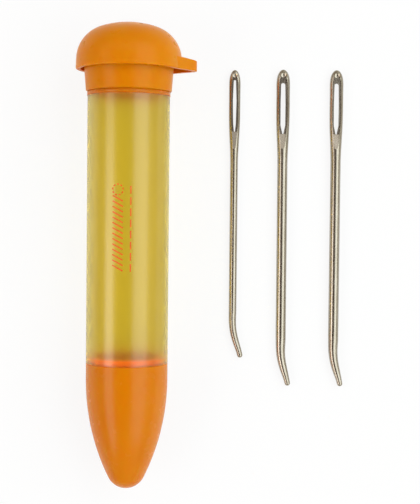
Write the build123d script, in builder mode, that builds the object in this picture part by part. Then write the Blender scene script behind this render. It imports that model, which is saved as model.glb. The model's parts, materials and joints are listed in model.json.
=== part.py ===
from build123d import *
from math import asin, atan2, cos, degrees, hypot, radians, sin, sqrt, tan
import os

# Three bent-tip yarn needles laid beside their storage case.
# Everything lies on the plane Z = 0. The case runs along Y with its cap towards +Y,
# and the needles lie parallel to it on the +X side, with their eyes towards +Y.
# Lengths are in millimetres and angles in degrees.

# Tube and base of the case, measured along its own axis from the seam between the two
case_radius = 8.7
tube_length = 62.7
tube_wall = 1.0
neck_inset = 0.4
neck_length = 5.35
lip_chamfer = 0.2
base_length = 27.0
base_straight = 3.5
nose_radius = 4.25
base_wall = 1.2
base_chamfer = 0.15
spigot_height = 1.4
spigot_wall = 0.9
spigot_clearance = 0.05

# Cap, measured along the same axis from the plane of its rim
rim_radius = 11.25
rim_height = 2.0
rim_draft = 0.1
rim_edge_radius = 0.3
crown_height = 9.9
crown_radius = 19.0
cap_wall = 1.05
skirt_length = 4.6
skirt_radius = 9.42
skirt_draft = 0.35
skirt_chamfer = 0.2
plug_length = 5.75
plug_wall = 0.9
plug_chamfer = 0.25
cap_clearance = 0.08
seat_gap = 0.05

# Thumb tab, which stands out from the cap's rim
tab_length = 3.15
tab_tip_radius = 2.3
tab_root_half_width = 6.6
tab_root_height = 2.5
tab_tip_height = 2.2
tab_edge_radius = 0.3
tab_turn = 6.0

# Small needle
small_length = 63.4
small_radius = 0.84
small_eye_half_width = 1.24
small_eye_half_thickness = 0.7
small_slot_start = 2.2
small_slot_end = 13.6
small_slot_half_width = 0.4
small_gutter_half_width = 0.75
small_bend_angle = 17.0

# Large needle
large_length = 69.6
large_radius = 1.11
large_eye_half_width = 1.48
large_eye_half_thickness = 0.88
large_slot_start = 2.95
large_slot_end = 14.2
large_slot_half_width = 0.55
large_gutter_half_width = 0.9
large_bend_angle = 15.3

# Distances from the head of either needle, and from its tip
head_length = 2.9
shoulder_length = 20.5
gutter_start = 1.4
gutter_end = 17.8
gutter_mouth_depth = 0.1
gutter_draft = 6.0
web_half_thickness = 0.3
taper_to_tip = 11.1
bend_to_tip = 8.1
bend_radius = 13.0
tip_radius = 0.6

# Where the pieces lie, from the case's axis and from the top of the cap
case_to_small = 22.6
small_to_large = 10.65
large_to_large = 11.77
small_setback = 8.0
large_setback = 7.85
last_turn = -0.2

# Shares of the shoulder's length, and of the step in section that is still left there
shoulder_shares = ((0.25, 1.0), (0.47, 1.0), (0.6, 0.87), (0.72, 0.6), (0.83, 0.3))
# Angles round the head's quarter ellipse
head_angles = (16, 36, 62, 90)
# Shares of the gutter's length, and of the half width of its floor
gutter_shares = (
    (0.0, 0.5),
    (0.06, 0.85),
    (0.2, 1.0),
    (0.65, 0.94),
    (0.8, 0.66),
    (0.93, 0.4),
    (1.0, 0.15),
)
# Shares of each slot's length, and of its half width
small_slot_shares = ((0.0, 0.6), (0.4, 1.0), (0.85, 0.72), (1.0, 0.3))
large_slot_shares = ((0.0, 0.85), (0.4, 1.0), (0.82, 0.97), (1.0, 0.27))
# Radius of the dish at the gutter's mouth, as a share of the half width of the gutter's floor
dish_share = 1.1
# Shares of the taper's length, and of the step in radius that is still left there
taper_shares = ((0.0, 1.0), (0.15, 0.93), (0.3, 0.81), (0.55, 0.6), (0.8, 0.28), (1.0, 0.0))

os.makedirs("parts", exist_ok=True)

# Radii worked out so that the arcs of each outline meet without a corner
ogive_run = base_length - base_straight - nose_radius
ogive_radius = (case_radius**2 - nose_radius**2 + ogive_run**2) / (2 * (case_radius - nose_radius))
ogive_centre = case_radius - ogive_radius
ogive_sweep = degrees(atan2(ogive_run, -ogive_centre))

wall_top_radius = rim_radius - rim_draft
crown_drop = rim_height - crown_height + crown_radius
brow_radius = (crown_radius**2 - wall_top_radius**2 - crown_drop**2) / (
    2 * (crown_radius - wall_top_radius)
)
brow_sweep = degrees(atan2(crown_drop, wall_top_radius - brow_radius))

neck_radius = case_radius - neck_inset
bore_radius = case_radius - tube_wall
shoulder_level = tube_length - neck_length
rim_level = shoulder_level + seat_gap + skirt_length

# The case lies on the rounded edge of its rim and on the curve of its base
rim_slant = (hypot(rim_draft, rim_height) + rim_draft) / rim_height
foot_radius = rim_radius - rim_edge_radius * rim_slant
foot_level = rim_level + rim_edge_radius
floor_run = foot_level + base_straight
floor_rise = foot_radius - ogive_centre
floor_drop = asin((ogive_radius - rim_edge_radius) / hypot(floor_rise, floor_run))
case_tilt = atan2(floor_rise, floor_run) - floor_drop


def tip_lead(bend_angle):
    """How far the straight end beyond the bend runs along the needle."""
    return bend_to_tip - tip_radius - bend_radius * sin(radians(bend_angle))


def tip_offset(bend_angle):
    """How far the centre of the tip stands to the side of the shaft."""
    turn = radians(bend_angle)
    return bend_radius * (1 - cos(turn)) + tip_lead(bend_angle) * sin(turn) / cos(turn)


# The origin is below the middle of everything together
cap_end = (rim_level + crown_height - crown_radius) * cos(case_tilt) + crown_radius
base_end = (nose_radius - base_length) * cos(case_tilt) - nose_radius
small_x = case_to_small
large_x = small_x + small_to_large
last_x = large_x + large_to_large
last_turn_shift = (large_length - tip_radius) * sin(radians(last_turn))
needles_end = (
    last_x + tip_offset(large_bend_angle) * cos(radians(last_turn)) + last_turn_shift + tip_radius
)
case_x = (rim_radius - needles_end) / 2
seam_y = -(cap_end + base_end) / 2
seam_z = foot_radius * cos(case_tilt) - foot_level * sin(case_tilt) + rim_edge_radius

seam = Vector(case_x, seam_y, seam_z)
case_direction = Vector(0, cos(case_tilt), sin(case_tilt))
case_axis = Axis(seam, case_direction)


def along_case(level):
    """Plane through the case's axis, with its origin on the axis at that level."""
    normal = Vector(0, -sin(case_tilt), cos(case_tilt))
    return Plane(seam + case_direction * level, x_dir=(1, 0, 0), z_dir=normal)


def across_case(level, turn=0):
    """Plane square to the case's axis at that level, turned about the axis."""
    square = Plane(seam + case_direction * level, x_dir=(1, 0, 0), z_dir=case_direction)
    return Plane(square.location * Rotation(0, 0, turn))


def ogive_section(inset):
    """Half section of the base, drawn inset from its outer face."""
    with BuildSketch() as section:
        with BuildLine():
            top = Line((0, 0), (case_radius - inset, 0))
            Line(top @ 1, (case_radius - inset, -base_straight))
            CenterArc((ogive_centre, -base_straight), ogive_radius - inset, 0, -ogive_sweep)
            nose_centre = (0, nose_radius - base_length)
            nose = CenterArc(nose_centre, nose_radius - inset, -ogive_sweep, ogive_sweep - 90)
            Line(nose @ 1, (0, 0))
        make_face()
    return section.sketch


def crown_section(inset):
    """Half section of the cap's crown, drawn inset from its outer face."""
    with BuildSketch() as section:
        with BuildLine():
            Line((0, 0), (rim_radius - inset, 0))
            Line((rim_radius - inset, 0), (wall_top_radius - inset, rim_height))
            brow_centre = (wall_top_radius - brow_radius, rim_height)
            CenterArc(brow_centre, brow_radius - inset, 0, brow_sweep)
            top_centre = (0, crown_height - crown_radius)
            top = CenterArc(top_centre, crown_radius - inset, brow_sweep, 90 - brow_sweep)
            Line(top @ 1, (0, 0))
        make_face()
    return section.sketch


# Base: a hollow ogive whose spigot stands inside the tube
spigot_radius = bore_radius - spigot_clearance
base_bore = spigot_radius - spigot_wall
with BuildSketch() as base_outline:
    add(ogive_section(0))
    base_corner = base_outline.vertices().sort_by(Axis.X)[-2:].sort_by(Axis.Y)[-1]
    chamfer(base_corner, length=base_chamfer)
with BuildPart() as base:
    with BuildSketch(along_case(0)):
        add(base_outline.sketch)
        with Locations((spigot_radius / 2, spigot_height / 2)):
            Rectangle(spigot_radius, spigot_height)
    revolve(axis=case_axis)
    with BuildSketch(along_case(0)):
        add(ogive_section(base_wall))
        with Locations((base_bore / 2, 0)):
            Rectangle(base_bore, 2 * base_length, mode=Mode.INTERSECT)
        with Locations((base_bore / 2, spigot_height / 2)):
            Rectangle(base_bore, spigot_height)
    revolve(axis=case_axis, mode=Mode.SUBTRACT)
base.part.label = "base"

# Tube: open at both ends, with its mouth necked in for the cap's skirt
with BuildPart() as tube:
    with BuildSketch(along_case(0)):
        with BuildLine():
            Polyline(
                (bore_radius, 0),
                (case_radius, 0),
                (case_radius, shoulder_level),
                (neck_radius, shoulder_level),
                (neck_radius, tube_length - lip_chamfer),
                (neck_radius - lip_chamfer, tube_length),
                (bore_radius, tube_length),
                close=True,
            )
        make_face()
    revolve(axis=case_axis)
tube.part.label = "tube"

# Cap: a crown whose overhanging rim stands round the skirt, and a plug inside the skirt
skirt_bore = neck_radius + cap_clearance
plug_radius = bore_radius - cap_clearance
plug_bore = plug_radius - plug_wall
with BuildSketch() as skirt_section:
    with BuildLine():
        Polyline(
            (skirt_bore, -skirt_length),
            (skirt_radius - skirt_draft - skirt_chamfer, -skirt_length),
            (skirt_radius - skirt_draft, skirt_chamfer - skirt_length),
            (skirt_radius, 0),
            (skirt_radius, crown_height),
            (skirt_bore, crown_height),
            close=True,
        )
    make_face()
with BuildSketch() as plug_section:
    with BuildLine():
        Polyline(
            (plug_bore, -plug_length),
            (plug_radius - plug_chamfer, -plug_length),
            (plug_radius, plug_chamfer - plug_length),
            (plug_radius, crown_height),
            (plug_bore, crown_height),
            close=True,
        )
    make_face()
with BuildSketch() as crown_outline:
    add(crown_section(0))
    fillet(crown_outline.vertices().sort_by(Axis.X)[-1], radius=rim_edge_radius)
with BuildSketch() as crown_hollow:
    add(crown_section(cap_wall))
    add(skirt_section.sketch, mode=Mode.SUBTRACT)
    add(plug_section.sketch, mode=Mode.SUBTRACT)
with BuildSketch() as below_rim:
    add(skirt_section.sketch)
    add(plug_section.sketch)
    with Locations((rim_radius / 2, crown_height / 2)):
        Rectangle(rim_radius, crown_height, mode=Mode.SUBTRACT)


# The tab's sides start in the middle of the rim's wall
tab_root_radius = rim_radius - cap_wall / 2
tab_root = sqrt(tab_root_radius**2 - tab_root_half_width**2)
tab_slope = degrees(atan2(tab_root_height - tab_tip_height, tab_length))


def tab_plan(inset):
    """Outline of the tab seen along the case's axis, drawn inset from its outer face."""
    with BuildSketch() as plan:
        with Locations((rim_radius + tab_length - tab_tip_radius, 0)):
            Circle(tab_tip_radius - inset)
        with Locations((tab_root - cap_wall / 2, 0)):
            Rectangle(cap_wall, 2 * (tab_root_half_width - inset))
        make_hull()
    return plan.sketch


def tab_block(inset, clear_radius):
    """The tab as a block outside clear_radius, under a top that falls towards the tip."""
    with BuildPart() as block:
        with BuildSketch(across_case(rim_level, tab_turn)):
            add(tab_plan(inset))
            Circle(clear_radius, mode=Mode.SUBTRACT)
        extrude(amount=crown_height)
        top = across_case(rim_level + tab_root_height - inset, tab_turn)
        sloping = top.location * Pos(rim_radius, 0, 0) * Rotation(0, tab_slope, 0)
        split(bisect_by=Plane(sloping), keep=Keep.BOTTOM)
    return block.part


tab_outside = tab_block(0, tab_root_radius)
tab_inside = tab_block(cap_wall, skirt_radius)
with BuildPart() as cap:
    add(tab_outside)
    tab_top = cap.faces().sort_by(case_axis)[-1]
    fillet(tab_top.edges().sort_by(Axis.X)[1:], radius=tab_edge_radius)
    with BuildSketch(along_case(rim_level)):
        add(crown_outline.sketch)
        add(crown_hollow.sketch, mode=Mode.SUBTRACT)
        add(below_rim.sketch)
    revolve(axis=case_axis)
    add(tab_inside, mode=Mode.SUBTRACT)
cap.part.label = "cap"


def make_needle(
    place,
    length,
    radius,
    half_width,
    half_thickness,
    slot_start,
    slot_end,
    slot,
    slot_shares,
    gutter,
    bend_angle,
):
    """One needle in the plane of its bend: origin at its head, shaft along -y of place."""

    def across(distance):
        """Plane square to the shaft, at a distance from the head."""
        origin = place.from_local_coords((0, -distance, 0))
        return Plane(origin, x_dir=place.x_dir, z_dir=-place.y_dir)

    # Sections from the head's end to the round shaft
    head = [Vertex(*place.origin)]
    for angle in head_angles:
        rise = sin(radians(angle))
        with BuildSketch(across(head_length * (1 - cos(radians(angle))))) as section:
            Ellipse(half_width * rise, half_thickness * rise)
        head.append(section.sketch)
    for share, left in shoulder_shares:
        width = radius + (half_width - radius) * left
        thickness = radius + (half_thickness - radius) * left
        with BuildSketch(across(shoulder_length * share)) as section:
            Ellipse(width, thickness)
        head.append(section.sketch)
    with BuildSketch(across(shoulder_length)) as round_section:
        Circle(radius)
    head.append(round_section.sketch)

    # Sections along the bent end
    with BuildLine(place) as path:
        straight = Line((0, taper_to_tip - length), (0, bend_to_tip - length))
        bend = JernArc(straight @ 1, (0, -1), bend_radius, bend_angle)
        lead = tip_lead(bend_angle) / cos(radians(bend_angle))
        Line(bend @ 1, (bend @ 1) + (bend % 1) * lead)
    wire = path.wire()
    taper = []
    for share, left in taper_shares:
        spot = Plane(wire @ share, x_dir=place.z_dir, z_dir=wire % share)
        with BuildSketch(spot) as section:
            Circle(tip_radius + (radius - tip_radius) * left)
        taper.append(section.sketch)

    # Each face has a gutter: a dish at its mouth, then a floor that rises to a point on the shaft
    def gutter_outline(height):
        """Outline of the gutter at a height above the middle of the needle."""
        spread = (height - web_half_thickness) * tan(radians(gutter_draft))
        with BuildSketch(place.offset(height)) as flat:
            with BuildLine():
                edge = Spline(
                    *(
                        (gutter * width + spread, -gutter_start - (gutter_end - gutter_start) * share)
                        for share, width in gutter_shares
                    )
                )
                Polyline(edge @ 0, (0, (edge @ 0).Y), (0, (edge @ 1).Y), edge @ 1)
            make_face()
            mirror(about=Plane.YZ)
        return flat.sketch

    above = half_width
    floor_outline = (
        (-gutter_start, web_half_thickness + gutter_mouth_depth),
        (-slot_start, web_half_thickness),
        (-slot_end, web_half_thickness),
        (-gutter_end, radius),
        (-gutter_end, above),
        (-gutter_start, above),
    )
    dish_radius = gutter * dish_share
    with BuildPart() as cutter:
        loft(sections=[gutter_outline(web_half_thickness), gutter_outline(above)], ruled=True)
        with BuildSketch(Plane(place.origin, x_dir=place.y_dir, z_dir=place.x_dir)):
            with BuildLine():
                Polyline(*floor_outline, close=True)
            make_face()
        extrude(amount=length, both=True, mode=Mode.INTERSECT)
        with Locations(place.offset(web_half_thickness + dish_radius)):
            with Locations((0, -gutter_start)):
                Sphere(dish_radius)
        mirror(about=place)

    with BuildPart() as needle:
        loft(sections=head)
        with BuildSketch(across(shoulder_length)):
            Circle(radius)
        extrude(amount=length - taper_to_tip - shoulder_length)
        loft(sections=taper)
        with Locations(Plane(wire @ 1, x_dir=place.z_dir, z_dir=wire % 1)):
            Sphere(tip_radius, arc_size1=0, align=(Align.CENTER, Align.CENTER, Align.MIN))
        with BuildSketch(place):
            for share, width in slot_shares:
                reach = slot_start + (slot_end - slot_start) * share
                reach = min(max(reach, slot_start + slot * width), slot_end - slot * width)
                with Locations((0, -reach)):
                    Circle(slot * width)
            make_hull()
        extrude(amount=half_width, both=True, mode=Mode.SUBTRACT)
        add(cutter.part, mode=Mode.SUBTRACT)
    return needle.part


def lie(x, radius, setback, turn=0):
    """Where a needle lies: its shaft on the floor, its head back from the top of the cap."""
    origin = (case_x + x, seam_y + cap_end - setback, radius)
    return Plane(origin, x_dir=(1, 0, 0), z_dir=(0, 0, 1)).rotated((0, 0, turn))


small_sizes = (
    small_length,
    small_radius,
    small_eye_half_width,
    small_eye_half_thickness,
    small_slot_start,
    small_slot_end,
    small_slot_half_width,
    small_slot_shares,
    small_gutter_half_width,
    small_bend_angle,
)
large_sizes = (
    large_length,
    large_radius,
    large_eye_half_width,
    large_eye_half_thickness,
    large_slot_start,
    large_slot_end,
    large_slot_half_width,
    large_slot_shares,
    large_gutter_half_width,
    large_bend_angle,
)
needles = {
    "small_needle": make_needle(lie(small_x, small_radius, small_setback), *small_sizes),
    "large_needle_1": make_needle(lie(large_x, large_radius, large_setback), *large_sizes),
    "large_needle_2": make_needle(
        lie(last_x, large_radius, large_setback, last_turn), *large_sizes
    ),
}

for name, needle in needles.items():
    needle.label = name
    export_step(needle, f"parts/{name}.step")
export_step(base.part, "parts/base.step")
export_step(tube.part, "parts/tube.step")
export_step(cap.part, "parts/cap.step")

print("case axis through", tuple(seam), "along", tuple(case_direction))
print("tilt", degrees(case_tilt), "rim level", rim_level, "ogive radius", ogive_radius)
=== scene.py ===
import json
from math import cos, pi, radians, sin, tan

import bmesh
import bpy
from bpy.props import FloatProperty, FloatVectorProperty, IntProperty, PointerProperty
from bpy.types import Operator, Panel, PropertyGroup
from mathutils import Matrix, Vector


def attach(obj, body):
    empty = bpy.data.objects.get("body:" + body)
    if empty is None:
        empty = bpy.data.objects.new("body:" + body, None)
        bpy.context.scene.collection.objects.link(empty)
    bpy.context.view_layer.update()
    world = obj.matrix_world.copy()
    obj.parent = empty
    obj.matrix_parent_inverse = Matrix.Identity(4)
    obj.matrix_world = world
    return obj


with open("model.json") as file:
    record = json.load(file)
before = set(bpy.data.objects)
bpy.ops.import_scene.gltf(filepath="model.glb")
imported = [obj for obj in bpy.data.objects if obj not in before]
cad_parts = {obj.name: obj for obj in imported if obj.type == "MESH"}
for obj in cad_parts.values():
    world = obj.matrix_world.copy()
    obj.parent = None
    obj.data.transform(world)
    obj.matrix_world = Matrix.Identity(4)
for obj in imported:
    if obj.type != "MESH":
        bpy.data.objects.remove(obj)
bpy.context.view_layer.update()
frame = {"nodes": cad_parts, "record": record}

bl_info = {
    "name": "Bent-Tip Yarn Needles",
    "version": (1, 0, 0),
    "blender": (4, 5, 0),
    "location": "View3D > Sidebar > Yarn Needles",
    "description": "Finishes the yarn needles and their case and lights them on a white table",
    "category": "Object",
}

# The case's axis, from the record: a point half way along the tube, and the way to the cap.
# The tube's foot is its lowest level along that axis.
tube_mount = next(mount for mount in frame["record"]["mounts"] if mount["name"] == "tube_body")
tube_middle = Vector(tube_mount["pos_m"])
tube_radius = tube_mount["dims"]["r_mm"] / 1000
case_up = -Vector(tube_mount["axis"]).normalized()
tube_foot = min(case_up.dot(vert.co) for vert in frame["nodes"]["tube"].data.vertices)
needle_nodes = ("small_needle", "large_needle_1", "large_needle_2")


class PlasticSettings(PropertyGroup):
    cap_orange: FloatVectorProperty(
        name="Cap Orange",
        description="Colour of the cap",
        subtype="COLOR",
        size=3,
        min=0,
        max=1,
        default=(0.725, 0.223, 0.0003),
    )
    base_orange: FloatVectorProperty(
        name="Base Orange",
        description="Colour of the base, a little deeper than the cap's",
        subtype="COLOR",
        size=3,
        min=0,
        max=1,
        default=(0.7, 0.2, 0.0003),
    )
    lip_orange: FloatVectorProperty(
        name="Lip Orange",
        description="Colour of the thin lip that reaches from the cap's skirt down the tube",
        subtype="COLOR",
        size=3,
        min=0,
        max=1,
        default=(0.78, 0.155, 0.0003),
    )
    glow_depth: FloatProperty(
        name="Glow Depth",
        description="How far light spreads inside the orange plastic",
        subtype="DISTANCE",
        unit="LENGTH",
        min=0,
        default=0.0015,
    )
    cap_roughness: FloatProperty(
        name="Cap Roughness",
        description="Roughness of the cap's satin moulding",
        subtype="FACTOR",
        min=0,
        max=1,
        default=0.3,
    )
    base_roughness: FloatProperty(
        name="Base Roughness",
        description="Roughness of the base's glossier moulding",
        subtype="FACTOR",
        min=0,
        max=1,
        default=0.25,
    )
    amber: FloatVectorProperty(
        name="Amber",
        description="Colour of the translucent tube",
        subtype="COLOR",
        size=3,
        min=0,
        max=1,
        default=(0.755, 0.635, 0.1),
    )
    amber_cloud: FloatVectorProperty(
        name="Amber Cloud",
        description="Colour of the faint clouds in the translucent tube",
        subtype="COLOR",
        size=3,
        min=0,
        max=1,
        default=(0.745, 0.62, 0.09),
    )
    # Colour of the foot, where the spigot shows through the wall, and of the painted orange glow
    # that fades out above it.
    foot_and_glow_amber: FloatVectorProperty(
        name="Foot Amber",
        description="Colour of the tube's foot, where the orange spigot fills it",
        subtype="COLOR",
        size=3,
        min=0,
        max=1,
        default=(1.0, 0.6, 0.02),
    )
    foot_height: FloatProperty(
        name="Foot Height",
        description="Height of the coloured foot above the tube's lower end",
        subtype="DISTANCE",
        unit="LENGTH",
        min=0,
        default=0.00125,
    )
    tube_clearness: FloatProperty(
        name="Tube Clearness",
        description="Share of the light that passes through the tube's wall",
        subtype="FACTOR",
        min=0,
        max=1,
        default=0.97,
    )
    tube_roughness: FloatProperty(
        name="Tube Roughness",
        description="Roughness of the frosted tube, which blurs what lies behind it",
        subtype="FACTOR",
        min=0,
        max=1,
        default=0.55,
    )


class PrintSettings(PropertyGroup):
    ink: FloatVectorProperty(
        name="Ink",
        description="Colour of the stitches printed on the tube",
        subtype="COLOR",
        size=3,
        min=0,
        max=1,
        default=(0.78, 0.075, 0.008),
    )
    film: FloatProperty(
        name="Film",
        description="Thickness of the printed ink",
        subtype="DISTANCE",
        unit="LENGTH",
        min=0,
        default=0.00002,
    )
    start: FloatProperty(
        name="Start",
        description="Distance of the print's top end above the middle of the tube",
        subtype="DISTANCE",
        unit="LENGTH",
        default=0.0079,
    )
    stitches: IntProperty(
        name="Slanted Stitches",
        description="Number of slanted stitches in the row",
        min=1,
        default=14,
    )
    pitch: FloatProperty(
        name="Stitch Pitch",
        description="Distance from one slanted stitch to the next",
        subtype="DISTANCE",
        unit="LENGTH",
        min=0,
        default=0.0011,
    )


class NeedleSettings(PropertyGroup):
    steel: FloatVectorProperty(
        name="Nickel",
        description="Colour of the nickel-plated steel",
        subtype="COLOR",
        size=3,
        min=0,
        max=1,
        default=(0.4, 0.352, 0.28),
    )
    steel_cloud: FloatVectorProperty(
        name="Handled Nickel",
        description="Colour of the plating where it is handled most",
        subtype="COLOR",
        size=3,
        min=0,
        max=1,
        default=(0.448, 0.4, 0.328),
    )
    roughness: FloatProperty(
        name="Roughness",
        description="Roughness of the polished steel",
        subtype="FACTOR",
        min=0,
        max=1,
        default=0.26,
    )


class StageSettings(PropertyGroup):
    table: FloatVectorProperty(
        name="Table",
        description="Colour of the table",
        subtype="COLOR",
        size=3,
        min=0,
        max=1,
        default=(0.93, 0.94, 0.96),
    )
    table_glow: FloatProperty(
        name="Table Glow",
        description="Share of plain white in what is seen of the table, which lightens the shadows",
        subtype="FACTOR",
        min=0,
        max=1,
        default=0.87,
    )
    mirror_glow: FloatProperty(
        name="Mirrored Glow",
        description="Share of plain white in the table's reflections, which keep more shadow",
        subtype="FACTOR",
        min=0,
        max=1,
        default=0.3,
    )
    lamp_height: FloatProperty(
        name="Lamp Height",
        description="Height at which the softboxes' angles are measured",
        subtype="DISTANCE",
        unit="LENGTH",
        min=0.1,
        default=0.36,
    )
    left_strength: FloatProperty(
        name="Left Softbox",
        description="Brightness of the narrow softbox beside the case",
        min=0,
        default=3.0,
    )
    far_strength: FloatProperty(
        name="Far Softbox",
        description="Brightness of the dimmer softbox beyond the cap",
        min=0,
        default=1.0,
    )
    head_strength: FloatProperty(
        name="Head Softbox",
        description="Brightness of the softbox across the table's far end",
        min=0,
        default=0.75,
    )
    right_strength: FloatProperty(
        name="Right Softbox",
        description="Brightness of the wide softbox beside the needles",
        min=0,
        default=2.0,
    )
    camera_height: FloatProperty(
        name="Camera Height",
        description="Height of the camera above the table",
        subtype="DISTANCE",
        unit="LENGTH",
        min=0.1,
        default=0.25,
    )
    lens: FloatProperty(
        name="Lens",
        description="Focal length of the camera's lens",
        subtype="DISTANCE_CAMERA",
        min=1,
        default=80.71,
    )


groups = {
    "plastic": PlasticSettings,
    "print": PrintSettings,
    "needle": NeedleSettings,
    "stage": StageSettings,
}


def settings(kind):
    """The scene's settings of one kind, such as plastic or stage."""
    return getattr(bpy.context.scene, f"yarn_{kind}")


def new_material(name):
    """A material with its node tree and its Principled shader."""
    material = bpy.data.materials.new(name)
    material.use_nodes = True
    tree = material.node_tree
    return material, tree, tree.nodes["Principled BSDF"]


def plug(tree, value, socket):
    """Links another node's socket to this one, or sets a plain value."""
    if isinstance(value, bpy.types.NodeSocket):
        tree.links.new(value, socket)
    elif socket.type == "RGBA" and len(value) == 3:
        socket.default_value = (*value, 1)
    else:
        socket.default_value = value


def add_node(tree, kind, inputs=None, **choices):
    """A node with its choices made and its inputs, by name or number, filled."""
    made = tree.nodes.new(kind)
    for name, value in choices.items():
        setattr(made, name, value)
    for key, value in (inputs or {}).items():
        plug(tree, value, made.inputs[key])
    return made


def place_on(tree, stretch=(1, 1, 1)):
    """Object coordinates, stretched along the axes."""
    place = add_node(tree, "ShaderNodeTexCoord").outputs["Object"]
    inputs = {"Vector": place, "Scale": stretch}
    return add_node(tree, "ShaderNodeMapping", inputs).outputs["Vector"]


def noise(tree, place, scale, detail):
    """Noise with a scale in waves per metre."""
    inputs = {"Vector": place, "Scale": scale, "Detail": detail}
    return add_node(tree, "ShaderNodeTexNoise", inputs).outputs["Fac"]


def spread(tree, value, low, high, new_low=0.0, new_high=1.0):
    """The value's range from low to high, moved to a new range."""
    inputs = {
        "Value": value,
        "From Min": low,
        "From Max": high,
        "To Min": new_low,
        "To Max": new_high,
    }
    return add_node(tree, "ShaderNodeMapRange", inputs).outputs["Result"]


def blend_colours(tree, share, first, second):
    """The first colour where the share is 0, and the second where it is 1."""
    inputs = {"Factor": share, 6: first, 7: second}
    return add_node(tree, "ShaderNodeMix", inputs, data_type="RGBA").outputs[2]


def math_node(tree, operation, first, second, clamp=False):
    """The result of an operation on two values, held between 0 and 1 if it is clamped."""
    inputs = {0: first, 1: second}
    choices = {"operation": operation, "use_clamp": clamp}
    return add_node(tree, "ShaderNodeMath", inputs, **choices).outputs[0]


def bump(tree, shader, height, strength, distance):
    """Small relief on the shader's surface."""
    inputs = {"Height": height, "Strength": strength, "Distance": distance}
    made = add_node(tree, "ShaderNodeBump", inputs)
    plug(tree, made.outputs["Normal"], shader.inputs["Normal"])


def uneven(tree, shader, wear, roughness, unevenness):
    """Makes the shader's roughness vary a little to both sides with the wear."""
    rough = spread(tree, wear, 0.3, 0.7, roughness - unevenness, roughness + unevenness)
    plug(tree, rough, shader.inputs["Roughness"])


def mix_shaders(tree, share, first, second):
    """Shows the first shader where the share is 0, and the second where it is 1."""
    inputs = {0: share, 1: first.outputs[0], 2: second.outputs[0]}
    mix = add_node(tree, "ShaderNodeMixShader", inputs)
    plug(tree, mix.outputs[0], tree.nodes["Material Output"].inputs["Surface"])


def ray_kinds(tree):
    """The outputs that are 1 on rays of one kind and 0 on all others."""
    return add_node(tree, "ShaderNodeLightPath").outputs


def seen_straight(tree, kinds):
    """1 on rays from the camera and on rays through the tube, and 0 on the others."""
    from_camera, through_tube = kinds["Is Camera Ray"], kinds["Is Transmission Ray"]
    return math_node(tree, "ADD", from_camera, through_tube, clamp=True)


def orange_plastic(name, orange, roughness, gloss):
    """Moulded orange plastic: faintly clouded, and lit a little from within."""
    material, tree, shader = new_material(name)
    place = place_on(tree)
    cloud = spread(tree, noise(tree, place, scale=130, detail=4), 0.35, 0.65)
    cloudy_orange = (orange[0] * 1.02, orange[1] * 1.08, orange[2])
    plug(tree, blend_colours(tree, cloud, orange, cloudy_orange), shader.inputs["Base Color"])
    wear = noise(tree, place, scale=420, detail=5)
    uneven(tree, shader, wear, roughness, unevenness=0.04)
    grain = noise(tree, place, scale=1400, detail=2)
    bump(tree, shader, grain, strength=0.06, distance=0.00008)
    shader.inputs["IOR"].default_value = 1.45
    shader.inputs["Specular IOR Level"].default_value = gloss
    shader.inputs["Subsurface Weight"].default_value = 0.5
    shader.inputs["Subsurface Radius"].default_value = (1.0, 0.3, 0.05)
    shader.inputs["Subsurface Scale"].default_value = settings("plastic").glow_depth
    return material


def amber_plastic():
    """Frosted amber plastic that blurs what lies behind it and lets light through to it."""
    plastic = settings("plastic")
    material, tree, shader = new_material("frosted_amber_plastic")
    place = place_on(tree)
    cloud = spread(tree, noise(tree, place, scale=90, detail=2), 0.3, 0.7)
    colour = blend_colours(tree, cloud, plastic.amber, plastic.amber_cloud)
    inputs = {0: place, 1: case_up}
    along = add_node(tree, "ShaderNodeVectorMath", inputs, operation="DOT_PRODUCT")
    level = along.outputs["Value"]
    # The foot takes the orange of the spigot inside it. Above the foot, a painted orange glow from
    # the spigot fades out over a short height.
    foot_top = tube_foot + plastic.foot_height
    soft_edge, painted_glow_height, painted_glow_strength = 0.0001, 0.002, 0.45
    filled = spread(tree, level, foot_top - soft_edge, foot_top + soft_edge, 1, 0)
    painted_glow = spread(tree, level, foot_top, foot_top + painted_glow_height, painted_glow_strength, 0)
    share = math_node(tree, "MAXIMUM", filled, painted_glow)
    colour = blend_colours(tree, share, colour, plastic.foot_and_glow_amber)
    plug(tree, colour, shader.inputs["Base Color"])
    wear = noise(tree, place, scale=300, detail=3)
    uneven(tree, shader, wear, plastic.tube_roughness, unevenness=0.04)
    shader.inputs["IOR"].default_value = 1.15
    shader.inputs["Transmission Weight"].default_value = plastic.tube_clearness
    shader.inputs["Coat Weight"].default_value = 1
    shader.inputs["Coat Roughness"].default_value = 0.26
    shader.inputs["Coat IOR"].default_value = 1.62
    one_face = [value**0.5 for value in plastic.amber]
    clear = add_node(tree, "ShaderNodeBsdfTransparent", {"Color": one_face})
    mix_shaders(tree, ray_kinds(tree)["Is Shadow Ray"], shader, clear)
    return material


def printed_ink():
    """Matt orange-red ink with slightly uneven cover."""
    material, tree, shader = new_material("printed_ink")
    place = place_on(tree)
    cover = spread(tree, noise(tree, place, scale=2500, detail=3), 0.3, 0.7)
    pale_ink = (0.85, 0.12, 0.012)
    colour = blend_colours(tree, cover, settings("print").ink, pale_ink)
    plug(tree, colour, shader.inputs["Base Color"])
    plug(tree, spread(tree, cover, 0, 1, 0.35, 0.5), shader.inputs["Roughness"])
    return material


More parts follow.
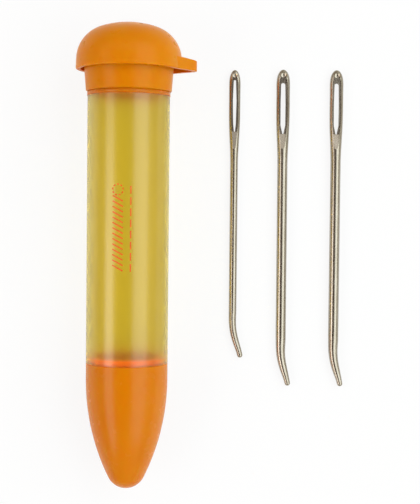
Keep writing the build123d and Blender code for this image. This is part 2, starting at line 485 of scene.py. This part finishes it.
def nickel_steel():
    """Polished nickel plate with drawn lines along the needle."""
    needle = settings("needle")
    material, tree, shader = new_material("nickel_plated_steel")
    cloud = spread(tree, noise(tree, place_on(tree), scale=260, detail=4), 0.35, 0.65)
    colour = blend_colours(tree, cloud, needle.steel, needle.steel_cloud)
    plug(tree, colour, shader.inputs["Base Color"])
    drawn = noise(tree, place_on(tree, stretch=(1, 0.03, 1)), scale=9000, detail=3)
    uneven(tree, shader, drawn, needle.roughness, unevenness=0.05)
    bump(tree, shader, drawn, strength=0.05, distance=0.00002)
    shader.inputs["Metallic"].default_value = 1
    return material


def dress(material, *names):
    """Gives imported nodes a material."""
    for name in names:
        for slot in frame["nodes"][name].material_slots:
            slot.material = material


def finish_mesh(bm, name, body, material):
    """Makes a piece of a finished bmesh, which rides on a body."""
    bmesh.ops.remove_doubles(bm, verts=bm.verts, dist=1e-7)
    bmesh.ops.recalc_face_normals(bm, faces=bm.faces)
    mesh = bpy.data.meshes.new(name)
    bm.to_mesh(mesh)
    bm.free()
    mesh.materials.append(material)
    piece = bpy.data.objects.new(name, mesh)
    bpy.context.scene.collection.objects.link(piece)
    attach(piece, body)
    return piece


class YARN_OT_cap(Operator):
    """Finish the cap in satin orange plastic"""

    bl_idname = "yarn.cap"
    bl_label = "Finish Cap"

    def execute(self, context):
        plastic = settings("plastic")
        name = "satin_orange_plastic"
        material = orange_plastic(name, plastic.cap_orange, plastic.cap_roughness, gloss=0.14)
        dress(material, "cap")
        return {"FINISHED"}


class YARN_OT_lip(Operator):
    """Add the thin lip below the cap's skirt, which hugs the tube"""

    bl_idname = "yarn.lip"
    bl_label = "Add Cap Lip"

    height: FloatProperty(
        name="Lip Height",
        description="How far the lip reaches below the skirt",
        unit="LENGTH",
        min=0,
        default=0.00095,
    )
    gap: FloatProperty(
        name="Lip Gap",
        description="Gap between the lip and the tube",
        unit="LENGTH",
        min=0,
        default=0.00002,
    )
    wall: FloatProperty(
        name="Lip Wall",
        description="Thickness of the lip",
        unit="LENGTH",
        min=0,
        default=0.00006,
    )

    def skirt_foot(self):
        """The level of the skirt's lower edge, the lowest on the cap outside the tube's radius."""
        levels = []
        for vert in frame["nodes"]["cap"].data.vertices:
            level = case_up.dot(vert.co - tube_middle)
            if (vert.co - tube_middle - case_up * level).length > tube_radius:
                levels.append(level)
        return min(levels)

    def execute(self, context):
        plastic = settings("plastic")
        out = Vector((1, 0, 0)).cross(case_up)
        inner = tube_radius + self.gap
        outer = inner + self.wall
        top = self.skirt_foot()
        foot = top - self.height
        bm = bmesh.new()
        ends = []
        for radius, level in ((inner, top), (outer, top), (outer, foot), (inner, foot)):
            ends.append(bm.verts.new(tube_middle + out * radius + case_up * level))
        sides = [bm.edges.new((ends[number - 1], ends[number])) for number in range(4)]
        full_turn = {"cent": tube_middle, "axis": case_up, "angle": 2 * pi, "steps": 128}
        bmesh.ops.spin(bm, geom=[*ends, *sides], use_merge=True, **full_turn)
        for face in bm.faces:
            face.smooth = True
        name = "deep_orange_plastic"
        material = orange_plastic(name, plastic.lip_orange, plastic.base_roughness, gloss=0.3)
        finish_mesh(bm, "cap_lip", "cap", material)
        return {"FINISHED"}


class YARN_OT_base(Operator):
    """Finish the base in glossy orange plastic"""

    bl_idname = "yarn.base"
    bl_label = "Finish Base"

    def execute(self, context):
        plastic = settings("plastic")
        name = "glossy_orange_plastic"
        material = orange_plastic(name, plastic.base_orange, plastic.base_roughness, gloss=0.24)
        dress(material, "base")
        return {"FINISHED"}


class YARN_OT_tube(Operator):
    """Finish the tube in frosted amber plastic"""

    bl_idname = "yarn.tube"
    bl_label = "Finish Tube"

    def execute(self, context):
        dress(amber_plastic(), "tube")
        return {"FINISHED"}


class YARN_OT_print(Operator):
    """Print a row of slanted stitches, a running stitch and a ring of stitches on the tube"""

    bl_idname = "yarn.print"
    bl_label = "Print Tube"

    row_side: FloatProperty(
        name="Row Side",
        description="Distance of the slanted row from the tube's top line, to the left",
        unit="LENGTH",
        default=0.0015,
    )
    row_width: FloatProperty(
        name="Row Width",
        description="Width of the slanted row",
        unit="LENGTH",
        min=0,
        default=0.0022,
    )
    line_side: FloatProperty(
        name="Line Side",
        description="Distance of the running stitch from the tube's top line, to the left",
        unit="LENGTH",
        default=-0.0012,
    )
    ring_radius: FloatProperty(
        name="Ring Radius",
        description="Radius of the ring of stitches above the row",
        unit="LENGTH",
        min=0,
        default=0.0011,
    )
    line_width: FloatProperty(
        name="Line Width",
        description="Width of each printed stroke",
        unit="LENGTH",
        min=0,
        default=0.00026,
    )

    def stitch(self, bm, film, side, level, length, width, slant):
        """One printed stroke on the tube: its middle, its size and its slant from the axis."""
        grid = bmesh.ops.create_grid(bm, x_segments=3, y_segments=12, size=0.5)["verts"]
        bmesh.ops.scale(bm, vec=(width, length, 1), verts=grid)
        bmesh.ops.rotate(bm, matrix=Matrix.Rotation(slant, 3, "Z"), verts=grid)
        bmesh.ops.translate(bm, vec=(-side, level, 0), verts=grid)
        faces = list({face for vert in grid for face in vert.link_faces})
        raised = bmesh.ops.extrude_face_region(bm, geom=faces)["geom"]
        raised = {vert for vert in raised if isinstance(vert, bmesh.types.BMVert)}
        across = Vector((1, 0, 0))
        out = across.cross(case_up)
        for vert in raised.union(grid):
            turn = vert.co.x / tube_radius
            radius = tube_radius + (film if vert in raised else -film)
            spoke = across * sin(turn) + out * cos(turn)
            vert.co = tube_middle + case_up * vert.co.y + spoke * radius

    def execute(self, context):
        sizes = settings("print")
        bm = bmesh.new()
        slant = radians(62)
        dashes, gap = 8, 0.0007
        ring_stitches, inked_share = 9, 0.6
        stroke = self.row_width / sin(slant)
        for number in range(sizes.stitches):
            level = sizes.start - number * sizes.pitch
            self.stitch(bm, sizes.film, self.row_side, level, stroke, self.line_width, slant)
        run = sizes.stitches * sizes.pitch + 2 * self.ring_radius + gap
        top = sizes.start + 2 * self.ring_radius + gap
        dash = run / dashes - gap
        for number in range(dashes):
            level = top - (dash + gap) * (number + 0.5)
            self.stitch(bm, sizes.film, self.line_side, level, dash, self.line_width, 0)
        chord = inked_share * 2 * pi * self.ring_radius / ring_stitches
        for number in range(ring_stitches):
            turn = 2 * pi * number / ring_stitches
            side = self.row_side - self.ring_radius * sin(turn)
            level = top - self.ring_radius + self.ring_radius * cos(turn)
            self.stitch(bm, sizes.film, side, level, chord, self.line_width, pi / 2 - turn)
        finish_mesh(bm, "printed_stitches", "case", printed_ink())
        return {"FINISHED"}


class YARN_OT_needles(Operator):
    """Finish the three needles in nickel-plated steel"""

    bl_idname = "yarn.needles"
    bl_label = "Finish Needles"

    def execute(self, context):
        dress(nickel_steel(), *needle_nodes)
        return {"FINISHED"}


class YARN_OT_stage(Operator):
    """Set the white table, the softboxes, the dim room and the camera"""

    bl_idname = "yarn.stage"
    bl_label = "Set Stage"

    def table(self, stage):
        """The white table, whose shadows are lightened where it is seen."""
        bm = bmesh.new()
        bmesh.ops.create_grid(bm, x_segments=1, y_segments=1, size=4)
        mesh = bpy.data.meshes.new("table")
        bm.to_mesh(mesh)
        bm.free()
        floor = bpy.data.objects.new("table", mesh)
        bpy.context.scene.collection.objects.link(floor)
        material, tree, shader = new_material("white_table")
        plug(tree, stage.table, shader.inputs["Base Color"])
        shader.inputs["Roughness"].default_value = 0.8
        shader.inputs["Specular IOR Level"].default_value = 0.1
        white = add_node(tree, "ShaderNodeEmission", {"Color": (1, 1, 1), "Strength": 1})
        kinds = ray_kinds(tree)
        straight = math_node(tree, "MULTIPLY", seen_straight(tree, kinds), stage.table_glow)
        mirrored = math_node(tree, "MULTIPLY", kinds["Is Glossy Ray"], stage.mirror_glow)
        mix_shaders(tree, math_node(tree, "MAXIMUM", straight, mirrored), shader, white)
        mesh.materials.append(material)

    def softbox(self, name, height, angles, ends, strength, tint, turn=0):
        """A softbox between two angles from overhead and two ends along Y.

        The turn about the upright comes last. A strength of 1 looks as bright as a white
        surface in full light.
        """
        first, last = (radians(angle) for angle in angles)
        middle = (first + last) / 2
        reach = height / cos(middle)
        width = 2 * reach * tan(abs(last - first) / 2)
        length = ends[1] - ends[0]
        light = bpy.data.lights.new(name, "AREA")
        light.shape = "RECTANGLE"
        light.size, light.size_y = width, length
        light.energy = strength * pi * width * length
        light.color = tint
        lamp = bpy.data.objects.new(name, light)
        place = Vector((reach * sin(middle), sum(ends) / 2, reach * cos(middle)))
        lamp.location = Matrix.Rotation(turn, 3, "Z") @ place
        lamp.rotation_euler = (0, middle, turn)
        lamp.visible_camera = False
        lamp.visible_transmission = False
        bpy.context.scene.collection.objects.link(lamp)

    def room(self):
        """A dim room, browner on the case's side, dark overhead and paler low down.

        Where it is seen and not mirrored, it is white.
        """
        world = bpy.data.worlds.new("room")
        bpy.context.scene.world = world
        world.use_nodes = True
        tree = world.node_tree
        way = add_node(tree, "ShaderNodeTexCoord").outputs["Generated"]
        parts = add_node(tree, "ShaderNodeSeparateXYZ", {0: way}).outputs
        case_wall, needle_wall = (0.36, 0.27, 0.19), (0.66, 0.66, 0.58)
        skirting, ceiling, white = (0.48, 0.44, 0.38), (0.10, 0.075, 0.065), (1, 1, 1)
        colour = blend_colours(tree, spread(tree, parts["X"], -0.5, 0.5), case_wall, needle_wall)
        colour = blend_colours(tree, spread(tree, parts["Z"], 0.12, 0.3), skirting, colour)
        colour = blend_colours(tree, spread(tree, parts["Z"], 0.55, 0.93), colour, ceiling)
        colour = blend_colours(tree, seen_straight(tree, ray_kinds(tree)), colour, white)
        plug(tree, colour, tree.nodes["Background"].inputs["Color"])

    def camera(self, stage):
        """The camera, straight above the middle of the set and turned a little."""
        data = bpy.data.cameras.new("camera")
        data.sensor_width = 36
        data.lens = stage.lens
        data.clip_start, data.clip_end = 0.01, 20
        camera = bpy.data.objects.new("camera", data)
        spot, turn = (-0.00035, 0.00124), radians(0.6)
        camera.location = (*spot, stage.camera_height)
        camera.rotation_euler = (0, 0, turn)
        bpy.context.scene.collection.objects.link(camera)
        bpy.context.scene.camera = camera

    def execute(self, context):
        stage = settings("stage")
        context.scene.view_settings.view_transform = "Standard"
        self.table(stage)
        height = stage.lamp_height
        warm, cool = (1, 0.99, 0.99), (0.9, 0.98, 1)
        left, right, head, across = (-60, -36), (17, 58), (20, 44), pi / 2
        self.softbox("left_softbox", height, left, (-0.55, 0.04), stage.left_strength, warm)
        self.softbox("far_softbox", height, left, (0.04, 0.45), stage.far_strength, warm)
        self.softbox("right_softbox", height, right, (-0.45, 0.45), stage.right_strength, cool)
        self.softbox("head_softbox", height, head, (-0.2, 0.2), stage.head_strength, warm, across)
        self.room()
        self.camera(stage)
        return {"FINISHED"}


steps = (
    YARN_OT_cap,
    YARN_OT_lip,
    YARN_OT_base,
    YARN_OT_tube,
    YARN_OT_print,
    YARN_OT_needles,
    YARN_OT_stage,
)


class YARN_PT_panel(Panel):
    """Lists the settings and the steps of the needle set"""

    bl_idname = "YARN_PT_panel"
    bl_label = "Yarn Needles"
    bl_space_type = "VIEW_3D"
    bl_region_type = "UI"
    bl_category = "Yarn Needles"

    def draw(self, context):
        for kind, group in groups.items():
            box = self.layout.box()
            box.label(text=kind.title())
            for name in group.__annotations__:
                box.prop(settings(kind), name)
        for step in steps:
            self.layout.operator(step.bl_idname)


classes = (*groups.values(), *steps, YARN_PT_panel)


def register():
    for item in classes:
        bpy.utils.register_class(item)
    for kind, group in groups.items():
        setattr(bpy.types.Scene, f"yarn_{kind}", PointerProperty(type=group))


def unregister():
    for kind in groups:
        delattr(bpy.types.Scene, f"yarn_{kind}")
    for item in reversed(classes):
        bpy.utils.unregister_class(item)


def main():
    register()
    bpy.ops.yarn.cap()
    bpy.ops.yarn.lip()
    bpy.ops.yarn.base()
    bpy.ops.yarn.tube()
    bpy.ops.yarn.print()
    bpy.ops.yarn.needles()
    bpy.ops.yarn.stage()


if __name__ == "__main__":
    main()
